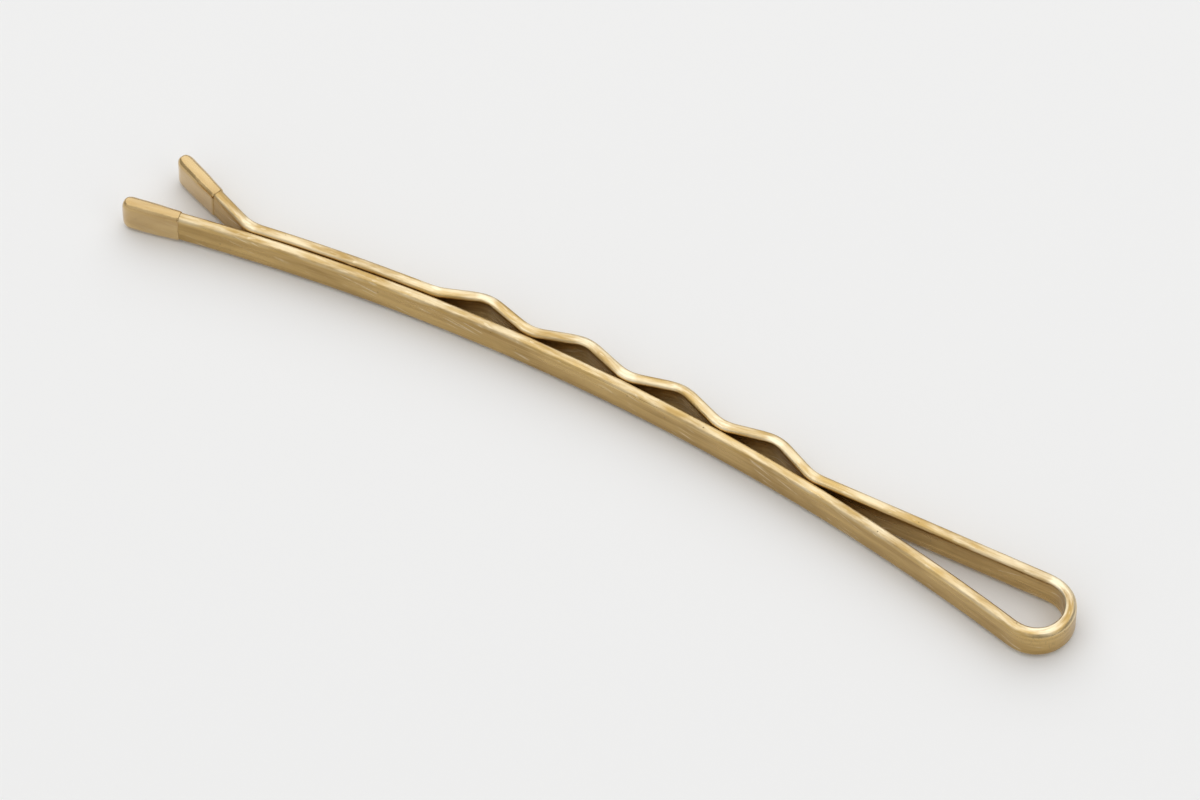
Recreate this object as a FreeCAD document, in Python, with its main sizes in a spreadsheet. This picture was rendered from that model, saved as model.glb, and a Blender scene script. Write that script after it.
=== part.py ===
import FreeCAD, Part
import math
import os
import Sketcher

# A bobby pin lying on its side.
# The wire's bends all lie in the XY plane and the wire's width stands along Z.
# The origin is the centre of the eye, +X points from the head to the tips,
# and the crimped leg lies on the -Y side of the straight leg.

doc = FreeCAD.newDocument("bobby_pin")

# Driving dimensions in millimetres and degrees: name, value, meaning
DRIVING_DIMENSIONS = (
    ("wire_width", "1.65", "width of the flat-rolled wire"),
    ("wire_thickness", "0.58", "thickness of the flat-rolled wire"),
    ("head_width", "3.7", "head loop, outside to outside"),
    ("shoulder_length", "7", "along each leg from the eye to where the head ends"),
    ("bow_radius", "110", "shallow bow of the straight leg, at mid thickness"),
    ("leg_gap", "0.05", "between the two legs where they close"),
    ("lead_length", "5", "from the head to the first bend of the crimped leg"),
    ("crimp_count", "4", "waves in the crimped leg"),
    ("crimp_pitch", "5.2", "from wave to wave along the straight leg"),
    ("crimp_height", "0.67", "rise of a wave, at mid thickness"),
    ("crimp_radius", "1.6", "bend radius of a wave, at mid thickness"),
    ("contact_length", "9", "plain stretch from the last wave to the toe"),
    ("toe_bend_radius", "1.5", "bend radius of the toe, at mid thickness"),
    ("toe_angle", "30", "how far the toe flares from the straight leg"),
    ("toe_length", "2", "straight part of the toe, to its tip drop"),
    ("mouth_length", "3.64", "straight leg from the toe's bend to its own tip drop"),
    ("tip_cover", "2.6", "length of wire that a tip drop covers"),
    ("tip_nose", "0.32", "lacquer past the cut end"),
    ("tip_film", "0.11", "lacquer on each side of the wire from the swell to the nose"),
    ("tip_root_film", "0.06", "lacquer on each side of the wire at the root"),
    ("tip_swell_share", "0.55", "share of the covered length over which the lacquer swells"),
    ("tip_nose_radius", "0.2", "rounding of the nose"),
    ("tip_round_share", "0.24", "most of the drop's thickness that the rounding may take"),
    ("bond_gap", "0.01", "between the wire and its tip drop"),
    ("edge_tolerance", "0.001", "how near an edge lies to the plane it is picked by"),
)

# Sizes and places worked out from the driving dimensions: name, formula
# The bow's centre lies where the bow meets the head loop and, past the
# thickness of the legs, the first bend of the crimped leg.
# Bearings are degrees about the bow's centre, counted from +X.
DERIVED_DIMENSIONS = (
    ("loop_radius", "(sizes.head_width - sizes.wire_thickness) / 2"),
    ("contact_radius", "sizes.bow_radius + sizes.wire_thickness + sizes.leg_gap"),
    ("valley_reach", "layout.contact_radius + sizes.crimp_radius"),
    ("crest_reach", "layout.contact_radius + sizes.crimp_height - sizes.crimp_radius"),
    ("toe_reach", "layout.contact_radius + sizes.toe_bend_radius"),
    ("eye_reach", "sizes.bow_radius + layout.loop_radius"),
    ("valley_drop", "layout.loop_radius + sizes.crimp_radius"),
    ("valley_x", "sizes.shoulder_length + sizes.lead_length"),
    ("valley_distance", "sqrt(layout.valley_x ^ 2 + layout.valley_drop ^ 2)"),
    (
        "bow_opening",
        "acos((layout.valley_distance ^ 2 + layout.eye_reach ^ 2 - layout.valley_reach ^ 2)"
        " / (2 * layout.valley_distance * layout.eye_reach)) / 1 deg",
    ),
    ("bow_direction", "layout.bow_opening - atan2(layout.valley_drop; layout.valley_x) / 1 deg"),
    ("bow_x", "layout.eye_reach * cos(layout.bow_direction)"),
    ("bow_y", "layout.eye_reach * sin(layout.bow_direction)"),
    ("bow_turn", "180 / (pi * sizes.bow_radius)"),
    ("eye_bearing", "layout.bow_direction - 180"),
    ("root_bearing", "layout.eye_bearing + sizes.shoulder_length * layout.bow_turn"),
    ("root_x", "layout.bow_x + sizes.bow_radius * cos(layout.root_bearing)"),
    ("contact_turn", "180 / (pi * layout.contact_radius)"),
    ("crimp_step", "sizes.crimp_pitch * layout.contact_turn"),
    (
        "first_bearing",
        "atan2(-layout.valley_drop - layout.bow_y; layout.valley_x - layout.bow_x) / 1 deg",
    ),
    ("wave_count", "round(sizes.crimp_count)"),
    ("last_bearing", "layout.first_bearing + layout.wave_count * layout.crimp_step"),
    ("toe_bearing", "layout.last_bearing + sizes.contact_length * layout.contact_turn"),
    ("toe_direction", "layout.toe_bearing + 90 - sizes.toe_angle"),
    ("toe_centre_x", "layout.bow_x + layout.toe_reach * cos(layout.toe_bearing)"),
    ("toe_centre_y", "layout.bow_y + layout.toe_reach * sin(layout.toe_bearing)"),
    (
        "toe_end_x",
        "layout.toe_centre_x - sizes.toe_bend_radius * sin(layout.toe_direction)"
        " + (sizes.toe_length + sizes.tip_cover) * cos(layout.toe_direction)",
    ),
    (
        "toe_end_y",
        "layout.toe_centre_y + sizes.toe_bend_radius * cos(layout.toe_direction)"
        " + (sizes.toe_length + sizes.tip_cover) * sin(layout.toe_direction)",
    ),
    ("leg_turn", "layout.toe_bearing + sizes.mouth_length * layout.bow_turn - layout.root_bearing"),
    ("leg_end_x", "sizes.bow_radius * cos(layout.leg_turn) - sizes.tip_cover * sin(layout.leg_turn)"),
    ("leg_end_y", "sizes.bow_radius * sin(layout.leg_turn) + sizes.tip_cover * cos(layout.leg_turn)"),
    ("end_direction", "layout.root_bearing + layout.leg_turn + 90"),
    (
        "end_x",
        "layout.bow_x + sizes.bow_radius * sin(layout.end_direction)"
        " + sizes.tip_cover * cos(layout.end_direction)",
    ),
    (
        "end_y",
        "layout.bow_y - sizes.bow_radius * cos(layout.end_direction)"
        " + sizes.tip_cover * sin(layout.end_direction)",
    ),
)

ORIGIN_POINT = (-1, 1)
X_AXIS = -1
START, END, CENTRE = 1, 2, 3
LEFT, RIGHT = 1, -1
UP = FreeCAD.Vector(0, 0, 1)


def make_sizes():
    """Writes the driving dimensions into a sheet."""
    sheet = doc.addObject("Spreadsheet::Sheet", "sizes")
    for row, (name, value, meaning) in enumerate(DRIVING_DIMENSIONS, start=1):
        sheet.set(f"A{row}", meaning)
        sheet.set(f"B{row}", value)
        sheet.setAlias(f"B{row}", name)
    doc.recompute()
    return sheet


def make_layout():
    """Makes the set of derived sizes, each tied to the sheet by its formula."""
    derived = doc.addObject("App::VarSet", "layout")
    for name, formula in DERIVED_DIMENSIONS:
        derived.addProperty("App::PropertyFloat", name)
        derived.setExpression(name, formula)
        doc.recompute()
    return derived


sizes = make_sizes()
layout = make_layout()


def value_of(formula):
    """Gives the plain number that a formula stands for."""
    result = layout.evalExpression(formula)
    return getattr(result, "Value", result)


def new_body(name):
    """Adds a sub-part's body under its own label."""
    body = doc.addObject("PartDesign::Body", name)
    body.Label = name
    return body


def new_sketch(body, name, plane_role, offset="0"):
    """Adds a sketch on one of the body's own origin planes, moved along its normal."""
    sketch = body.newObject("Sketcher::SketchObject", name)
    plane = next(item for item in body.Origin.OriginFeatures if item.Role == plane_role)
    sketch.AttachmentSupport = (plane, [""])
    sketch.MapMode = "FlatFace"
    sketch.setExpression("AttachmentOffset.Base.z", offset)
    return sketch


def place(body, x, y, turn):
    """Ties a body's place and its turn about Z to formulas."""
    body.Placement = FreeCAD.Placement(FreeCAD.Vector(), FreeCAD.Rotation(UP, value_of(turn)))
    body.setExpression("Placement.Base.x", x)
    body.setExpression("Placement.Base.y", y)
    body.setExpression("Placement.Rotation.Angle", f"({turn}) * 1 deg")


def dimension(sketch, formula, kind, *where):
    """Adds a dimension to a sketch and ties it to a formula."""
    index = sketch.addConstraint(Sketcher.Constraint(kind, *where, value_of(formula)))
    sketch.setExpression(f"Constraints[{index}]", formula)


def locate(sketch, geometry, point, x, y):
    """Ties a point of a sketch to a place, counted from the sketch's origin."""
    dimension(sketch, x, "DistanceX", *ORIGIN_POINT, geometry, point)
    dimension(sketch, y, "DistanceY", *ORIGIN_POINT, geometry, point)


def draw_line(sketch, start, end):
    """Draws a straight line between two points."""
    return sketch.addGeometry(Part.LineSegment(FreeCAD.Vector(*start), FreeCAD.Vector(*end)))


def draw_arc(sketch, centre, radius, first_angle, last_angle):
    """Draws an arc that runs anticlockwise between two angles in degrees."""
    circle = Part.Circle(FreeCAD.Vector(*centre), UP, radius)
    arc = Part.ArcOfCircle(circle, math.radians(first_angle), math.radians(last_angle))
    return sketch.addGeometry(arc)


def join(sketch, geometry, point, next_geometry, next_point):
    """Joins two ends of a path so that they run on smoothly."""
    sketch.addConstraint(Sketcher.Constraint("Tangent", geometry, point, next_geometry, next_point))


def end_point(sketch, geometry, point):
    """Gives the place of a path's end."""
    place_now = sketch.getPoint(geometry, point)
    return place_now.x, place_now.y


def draw_wire_section(sketch, middle, thickness, width):
    """Draws a flat wire's section: two flats and two fully round edges.

    The thickness lies along the sketch's x, the width along its y.
    """
    middle_x = value_of(middle)
    edge_radius = value_of(thickness) / 2
    half_flat = (value_of(width) - value_of(thickness)) / 2
    outer = draw_line(sketch, (middle_x + edge_radius, -half_flat), (middle_x + edge_radius, half_flat))
    upper = draw_arc(sketch, (middle_x, half_flat), edge_radius, 0, 180)
    inner = draw_line(sketch, (middle_x - edge_radius, half_flat), (middle_x - edge_radius, -half_flat))
    lower = draw_arc(sketch, (middle_x, -half_flat), edge_radius, 180, 360)
    outline = (outer, upper, inner, lower)
    for side, next_side in zip(outline, outline[1:] + outline[:1]):
        join(sketch, side, END, next_side, START)
    sketch.addConstraint(Sketcher.Constraint("Equal", upper, lower))
    dimension(sketch, f"({thickness}) / 2", "Radius", upper)
    locate(sketch, upper, CENTRE, middle, f"(({width}) - ({thickness})) / 2")
    locate(sketch, lower, CENTRE, middle, f"(({thickness}) - ({width})) / 2")


def sweep(body, section, path):
    """Sweeps a section along a path."""
    pipe = body.newObject("PartDesign::AdditivePipe", body.Label + "_wire")
    pipe.Profile = section
    pipe.Spine = (path, [])
    doc.recompute()


def make_head_loop():
    """Makes the head: the round loop and the shoulders of both legs."""
    body = new_body("head_loop")
    path = new_sketch(body, "head_path", "XY_Plane")
    radius = layout.loop_radius
    lead = draw_line(path, (0, -radius), (sizes.shoulder_length, -radius))
    loop = draw_arc(path, (0, 0), radius, layout.bow_direction, 270)
    bow_centre = (layout.bow_x, layout.bow_y)
    bow = draw_arc(path, bow_centre, sizes.bow_radius, layout.eye_bearing, layout.root_bearing)
    path.addConstraint(Sketcher.Constraint("Coincident", loop, CENTRE, *ORIGIN_POINT))
    dimension(path, "layout.loop_radius", "Radius", loop)
    join(path, loop, END, lead, START)
    path.addConstraint(Sketcher.Constraint("Horizontal", lead))
    dimension(path, "sizes.shoulder_length", "DistanceX", *ORIGIN_POINT, lead, END)
    join(path, bow, START, loop, START)
    locate(path, bow, CENTRE, "layout.bow_x", "layout.bow_y")
    dimension(path, "layout.root_x", "DistanceX", *ORIGIN_POINT, bow, END)
    section = new_sketch(body, "head_section", "XZ_Plane")
    draw_wire_section(section, "-layout.loop_radius", "sizes.wire_thickness", "sizes.wire_width")
    sweep(body, section, path)
    return body


def make_straight_leg():
    """Makes the straight leg: the bow, and the straight end that its tip drop covers.

    It is drawn about the bow's centre, with its root on the +X side.
    """
    body = new_body("straight_leg")
    path = new_sketch(body, "straight_leg_path", "XY_Plane")
    bow = draw_arc(path, (0, 0), sizes.bow_radius, 0, layout.leg_turn)
    end = draw_line(path, end_point(path, bow, END), (layout.leg_end_x, layout.leg_end_y))
    path.addConstraint(Sketcher.Constraint("Coincident", bow, CENTRE, *ORIGIN_POINT))
    path.addConstraint(Sketcher.Constraint("PointOnObject", bow, START, X_AXIS))
    dimension(path, "sizes.bow_radius", "Radius", bow)
    join(path, bow, END, end, START)
    locate(path, end, END, "layout.leg_end_x", "layout.leg_end_y")
    section = new_sketch(body, "straight_leg_section", "XZ_Plane")
    draw_wire_section(section, "sizes.bow_radius", "sizes.wire_thickness", "sizes.wire_width")
    sweep(body, section, path)
    place(body, "layout.bow_x", "layout.bow_y", "layout.root_bearing")
    return body


def crimp_bends():
    """Lists the bends of the waves in order: the side they turn to, and their place."""
    bends = []
    for half_step in range(2 * int(layout.wave_count) + 1):
        turn = LEFT if half_step % 2 else RIGHT
        reach = "layout.crest_reach" if turn == LEFT else "layout.valley_reach"
        bearing = f"(layout.first_bearing + layout.crimp_step * {half_step} / 2)"
        x = f"layout.bow_x + {reach} * cos{bearing}"
        y = f"layout.bow_y + {reach} * sin{bearing}"
        bends.append((turn, x, y))
    return bends


def run_direction(turn, centre, next_centre, radius):
    """Gives the direction of the straight run between two opposite bends of one radius."""
    across = FreeCAD.Vector(*next_centre) - FreeCAD.Vector(*centre)
    lean = math.asin(2 * radius / across.Length)
    return math.degrees(math.atan2(across.y, across.x) + turn * lean)


def draw_bend(sketch, turn, centre, radius, direction_in, direction_out):
    """Draws a bend and gives it with its points of entry and exit."""
    if turn == LEFT:
        return draw_arc(sketch, centre, radius, direction_in - 90, direction_out - 90), START, END
    return draw_arc(sketch, centre, radius, direction_out + 90, direction_in + 90), END, START


def draw_waves(path):
    """Draws the lead and the waves, and gives the last bend with its exit."""
    radius = sizes.crimp_radius
    bends = crimp_bends()
    centres = [(value_of(x), value_of(y)) for _, x, y in bends]
    directions = [0]
    for (turn, _, _), centre, next_centre in zip(bends, centres, centres[1:]):
        directions.append(run_direction(turn, centre, next_centre, radius))
    directions.append(layout.last_bearing + 90)
    last, last_exit = None, None
    for number, (turn, x, y) in enumerate(bends):
        bend, bend_entry, bend_exit = draw_bend(
            path, turn, centres[number], radius, directions[number], directions[number + 1]
        )
        entry_point = end_point(path, bend, bend_entry)
        if last is None:
            run = draw_line(path, (sizes.shoulder_length, -layout.loop_radius), entry_point)
            locate(path, run, START, "sizes.shoulder_length", "-layout.loop_radius")
        else:
            run = draw_line(path, end_point(path, last, last_exit), entry_point)
            join(path, last, last_exit, run, START)
        join(path, run, END, bend, bend_entry)
        dimension(path, "sizes.crimp_radius", "Radius", bend)
        locate(path, bend, CENTRE, x, y)
        last, last_exit = bend, bend_exit
    return last, last_exit


def draw_toe(path, last, last_exit):
    """Draws the plain stretch along the straight leg and the flared toe after it."""
    bow_centre = (layout.bow_x, layout.bow_y)
    contact = draw_arc(path, bow_centre, layout.contact_radius, layout.last_bearing, layout.toe_bearing)
    join(path, last, last_exit, contact, START)
    locate(path, contact, CENTRE, "layout.bow_x", "layout.bow_y")
    toe_centre = (layout.toe_centre_x, layout.toe_centre_y)
    bend, bend_entry, bend_exit = draw_bend(
        path, RIGHT, toe_centre, sizes.toe_bend_radius, layout.toe_bearing + 90, layout.toe_direction
    )
    join(path, contact, END, bend, bend_entry)
    locate(path, bend, CENTRE, "layout.toe_centre_x", "layout.toe_centre_y")
    toe = draw_line(path, end_point(path, bend, bend_exit), (layout.toe_end_x, layout.toe_end_y))
    join(path, bend, bend_exit, toe, START)
    locate(path, toe, END, "layout.toe_end_x", "layout.toe_end_y")


def make_crimped_leg():
    """Makes the crimped leg: the lead, the waves, the plain stretch and the toe."""
    body = new_body("crimped_leg")
    path = new_sketch(body, "crimped_leg_path", "XY_Plane")
    last, last_exit = draw_waves(path)
    draw_toe(path, last, last_exit)
    section = new_sketch(body, "crimped_leg_section", "YZ_Plane", "sizes.shoulder_length")
    draw_wire_section(section, "-layout.loop_radius", "sizes.wire_thickness", "sizes.wire_width")
    sweep(body, section, path)
    return body


def draw_coated_section(body, name, offset, coat):
    """Draws the wire's section with a coat of lacquer on every side."""
    sketch = new_sketch(body, name, "YZ_Plane", offset)
    draw_wire_section(sketch, "0", f"sizes.wire_thickness + 2 * {coat}", f"sizes.wire_width + 2 * {coat}")
    return sketch


def rim_edges(shape, x):
    """Names the edges that lie in the plane square to a tip at a given place."""
    names = []
    for number, edge in enumerate(shape.Edges, start=1):
        box = edge.BoundBox
        if max(abs(box.XMin - x), abs(box.XMax - x)) < sizes.edge_tolerance:
            names.append(f"Edge{number}")
    return names


def make_tip(name, end_x, end_y, direction):
    """Makes a tip drop: lacquer that swells from the leg to a round nose.

    The wire's cut end lies at the drop's own origin, with the leg along its -X.
    """
    body = new_body(name)
    section = draw_coated_section(body, name + "_section", "-sizes.tip_cover", "sizes.tip_film")
    drop = body.newObject("PartDesign::Pad", name + "_drop")
    drop.Profile = section
    drop.setExpression("Length", "sizes.tip_cover + sizes.tip_nose")
    doc.recompute()
    rounded = body.newObject("PartDesign::Fillet", name + "_round_nose")
    rounded.Base = (drop, rim_edges(drop.Shape, sizes.tip_nose))
    most_rounding = "(sizes.wire_thickness + 2 * sizes.tip_film) * sizes.tip_round_share"
    rounded.setExpression("Radius", f"min(sizes.tip_nose_radius; {most_rounding})")
    doc.recompute()
    swell = body.newObject("PartDesign::Chamfer", name + "_swell")
    swell.Base = (rounded, rim_edges(rounded.Shape, -sizes.tip_cover))
    swell.ChamferType = "Two distances"
    swell.setExpression("Size", "sizes.tip_cover * sizes.tip_swell_share")
    swell.setExpression("Size2", "sizes.tip_film - sizes.tip_root_film")
    doc.recompute()
    mouth = draw_coated_section(body, name + "_mouth", "-sizes.tip_cover", "sizes.bond_gap")
    socket = body.newObject("PartDesign::Pocket", name + "_socket")
    socket.Profile = mouth
    socket.setExpression("Length", "sizes.tip_cover")
    socket.Reversed = True
    place(body, end_x, end_y, direction)
    doc.recompute()
    return body


def check_and_export(bodies):
    """Stops on any failed object or bad solid, then writes one file for each sub-part."""
    doc.recompute()
    for item in doc.Objects:
        if "Invalid" in item.State or "Error" in item.State:
            raise RuntimeError(f"{item.Label} failed: {item.State}")
    for body in bodies:
        if body.Shape.isNull() or not body.Shape.isValid() or len(body.Shape.Solids) != 1:
            raise RuntimeError(f"{body.Label} is not one sound solid")
    os.makedirs("parts", exist_ok=True)
    for body in bodies:
        body.Shape.exportStep(f"parts/{body.Label}.step")
        print(f"{body.Label}: {body.Shape.Volume:.3f} cubic mm")


check_and_export(
    [
        make_head_loop(),
        make_straight_leg(),
        make_crimped_leg(),
        make_tip("straight_leg_tip", "layout.end_x", "layout.end_y", "layout.end_direction"),
        make_tip("crimped_leg_tip", "layout.toe_end_x", "layout.toe_end_y", "layout.toe_direction"),
    ]
)
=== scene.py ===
"""Dresses a packed bobby pin: its swept wire, its tip drops, its finishes and a plain studio.

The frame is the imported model's own. The origin is the centre of the eye, +X runs from the
head to the tips, the crimped leg lies on the -Y side, and the wire's width stands along Z.
Lengths are in metres and angles in radians.
"""

import logging
import math
from dataclasses import dataclass, field
from enum import Enum
from functools import reduce
from itertools import product
from typing import Any

import bmesh
import bpy
from bpy.types import Material, Node, NodeTree, Object
from bpy.types import NodeSocket as Socket
from mathutils import Matrix, Vector, noise


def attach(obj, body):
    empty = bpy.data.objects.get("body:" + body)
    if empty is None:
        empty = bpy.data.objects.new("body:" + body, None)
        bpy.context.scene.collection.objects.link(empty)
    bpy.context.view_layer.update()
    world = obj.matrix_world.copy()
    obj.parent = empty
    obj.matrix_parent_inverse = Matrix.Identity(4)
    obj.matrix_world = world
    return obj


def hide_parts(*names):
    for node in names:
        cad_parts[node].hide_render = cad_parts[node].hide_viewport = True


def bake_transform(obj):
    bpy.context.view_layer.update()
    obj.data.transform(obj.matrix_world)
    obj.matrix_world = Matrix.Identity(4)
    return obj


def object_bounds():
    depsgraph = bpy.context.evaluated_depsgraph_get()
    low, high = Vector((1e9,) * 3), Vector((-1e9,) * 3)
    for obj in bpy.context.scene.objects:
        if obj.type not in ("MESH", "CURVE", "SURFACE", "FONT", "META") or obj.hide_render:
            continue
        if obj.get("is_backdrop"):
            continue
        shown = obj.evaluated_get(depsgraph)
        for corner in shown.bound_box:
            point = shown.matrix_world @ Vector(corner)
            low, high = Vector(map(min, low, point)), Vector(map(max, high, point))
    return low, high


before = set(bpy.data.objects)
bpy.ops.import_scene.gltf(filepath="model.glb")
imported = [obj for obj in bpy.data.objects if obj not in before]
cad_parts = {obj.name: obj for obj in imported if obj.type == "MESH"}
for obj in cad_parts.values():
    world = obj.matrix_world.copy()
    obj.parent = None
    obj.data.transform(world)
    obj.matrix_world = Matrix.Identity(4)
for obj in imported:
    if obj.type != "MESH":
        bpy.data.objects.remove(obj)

CAD_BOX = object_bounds()
MM = 0.001
PER_MM = 1 / MM
QUARTER_TURN = math.pi / 2
UP = Vector((0, 0, 1))
RGBA = tuple[float, float, float, float]

log = logging.getLogger("bobby_pin")


class Turn(Enum):
    """The side that the wire bends to, seen along the wire from above."""

    LEFT = 1
    RIGHT = -1


class Leg(Enum):
    """The pin's two legs, by the name of the body that each one moves with."""

    STRAIGHT = "straight_side"
    CRIMPED = "crimped_side"


def heading(angle: float) -> Vector:
    """Gives the direction in the plane of the bends at an angle from +X."""
    return Vector((math.cos(angle), math.sin(angle), 0))


def scene_object(name: str, data: bpy.types.ID) -> Object:
    """Makes an object of a mesh, a light or a camera, and puts it into the scene.

    Args:
        name: Name of the object.
        data: What the object holds.

    Returns:
        The object.
    """
    item = bpy.data.objects.new(name, data)
    bpy.context.scene.collection.objects.link(item)
    return item


@dataclass(frozen=True)
class PinShape:
    """The sizes that the wire's centre line is drawn from, the same as the solids have."""

    wire_width: float = 1.65 * MM
    wire_thickness: float = 0.58 * MM
    edge_radius: float = 0.21 * MM
    head_width: float = 3.7 * MM
    bow_radius: float = 110 * MM
    leg_gap: float = 0.05 * MM
    first_bend_at: float = 12 * MM
    crimp_count: int = 4
    crimp_pitch: float = 5.2 * MM
    crimp_height: float = 0.67 * MM
    crimp_radius: float = 1.6 * MM
    contact_length: float = 9 * MM
    toe_bend_radius: float = 1.5 * MM
    toe_angle: float = math.radians(30)
    toe_length: float = 2 * MM
    mouth_length: float = 3.64 * MM
    tip_cover: float = 2.6 * MM
    seam_at: float = 3 * MM
    flex_until: float = 11.5 * MM

    @property
    def loop_radius(self) -> float:
        """Radius of the head loop at mid thickness."""
        return (self.head_width - self.wire_thickness) / 2

    @property
    def contact_radius(self) -> float:
        """Radius, about the bow's centre, of the crimped leg where it lies along the other."""
        return self.bow_radius + self.wire_thickness + self.leg_gap

    @property
    def valley_reach(self) -> float:
        """Distance from the bow's centre to the centre of a bend that nears the straight leg."""
        return self.contact_radius + self.crimp_radius

    @property
    def first_valley(self) -> Vector:
        """Centre of the crimped leg's first bend."""
        return Vector((self.first_bend_at, -self.loop_radius - self.crimp_radius, 0))

    @property
    def bow_direction(self) -> float:
        """Finds where the bow's centre lies, so that the legs close at the first bend.

        Returns:
            Direction from the eye to the bow's centre.
        """
        valley = self.first_valley
        eye_reach = self.bow_radius + self.loop_radius
        opposite = valley.length_squared + eye_reach**2 - self.valley_reach**2
        between = math.acos(opposite / (2 * valley.length * eye_reach))
        return between + math.atan2(valley.y, valley.x)

    @property
    def bow_centre(self) -> Vector:
        """Centre of the bow that both legs follow."""
        return heading(self.bow_direction) * (self.bow_radius + self.loop_radius)

    @property
    def loop_turn(self) -> float:
        """Angle of the head loop, from the end of the bow to the crimped leg's shoulder."""
        return 3 * QUARTER_TURN - self.bow_direction

    @property
    def eye_bearing(self) -> float:
        """Bearing, about the bow's centre, of the place where the bow leaves the head loop."""
        return self.bow_direction - math.pi

    @property
    def first_bearing(self) -> float:
        """Bearing, about the bow's centre, of the crimped leg's first bend."""
        from_centre = self.first_valley - self.bow_centre
        return math.atan2(from_centre.y, from_centre.x)

    @property
    def last_bearing(self) -> float:
        """Bearing, about the bow's centre, of the crimped leg's last wave."""
        return self.first_bearing + self.crimp_count * self.crimp_pitch / self.contact_radius

    @property
    def toe_bearing(self) -> float:
        """Bearing, about the bow's centre, of the bend of the toe."""
        return self.last_bearing + self.contact_length / self.contact_radius

    @property
    def seam_turn(self) -> float:
        """Angle of bow from the head loop to the straight leg's seam."""
        return self.seam_at / self.bow_radius

    @property
    def straight_bow_turn(self) -> float:
        """Angle of bow in the straight leg, from the head loop to the tip drop."""
        return self.toe_bearing + self.mouth_length / self.bow_radius - self.eye_bearing

    def on_bow(self, radius: float, bearing: float) -> Vector:
        """Gives the place at a radius and a bearing about the bow's centre."""
        return self.bow_centre + heading(bearing) * radius


@dataclass(frozen=True)
class CutEnd:
    """An end of the wire: its place, the direction that it points in, and how far along it lies."""

    place: Vector
    angle: float
    run: float


@dataclass
class WireLine:
    """The wire's centre line, drawn from end to end by running straight and by bending."""

    place: Vector
    angle: float
    run: float = 0
    step: float = 0.07 * MM
    cut_at: int = 0
    kept: list[tuple[Vector, float, float]] = field(default_factory=list)

    def __post_init__(self) -> None:
        """Keeps the first point."""
        self.mark(0)

    def mark(self, bend: float) -> None:
        """Keeps the place reached, the bend of the wire there, and how far along it lies."""
        self.kept.append((self.place.copy(), bend, self.run))

    def go(self, length: float) -> None:
        """Runs straight on.

        Args:
            length: How far to run.
        """
        count = max(1, math.ceil(length / self.step))
        for _ in range(count):
            self.place = self.place + heading(self.angle) * (length / count)
            self.run += length / count
            self.mark(0)

    def go_to(self, target: Vector) -> None:
        """Runs straight on to a place ahead."""
        self.go((target - self.place).length)

    def bend(self, radius: float, turn: float) -> None:
        """Bends round by an angle, to the left where the angle is positive.

        Args:
            radius: Radius of the bend at mid thickness.
            turn: Angle that the wire turns by.
        """
        side = math.copysign(1, turn)
        centre = self.place + heading(self.angle + side * QUARTER_TURN) * radius
        count = max(1, math.ceil(radius * abs(turn) / self.step))
        for _ in range(count):
            self.angle += turn / count
            self.place = centre + heading(self.angle - side * QUARTER_TURN) * radius
            self.run += radius * abs(turn) / count
            self.mark(side / radius)

    def end(self) -> CutEnd:
        """Gives the end that the wire has now reached."""
        return CutEnd(self.place.copy(), self.angle, self.run)

    def cut(self) -> list[tuple[Vector, float, float]]:
        """Gives what was kept from the last cut up to here, where the next piece starts."""
        first, self.cut_at = self.cut_at, len(self.kept) - 1
        return self.kept[first:]


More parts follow.
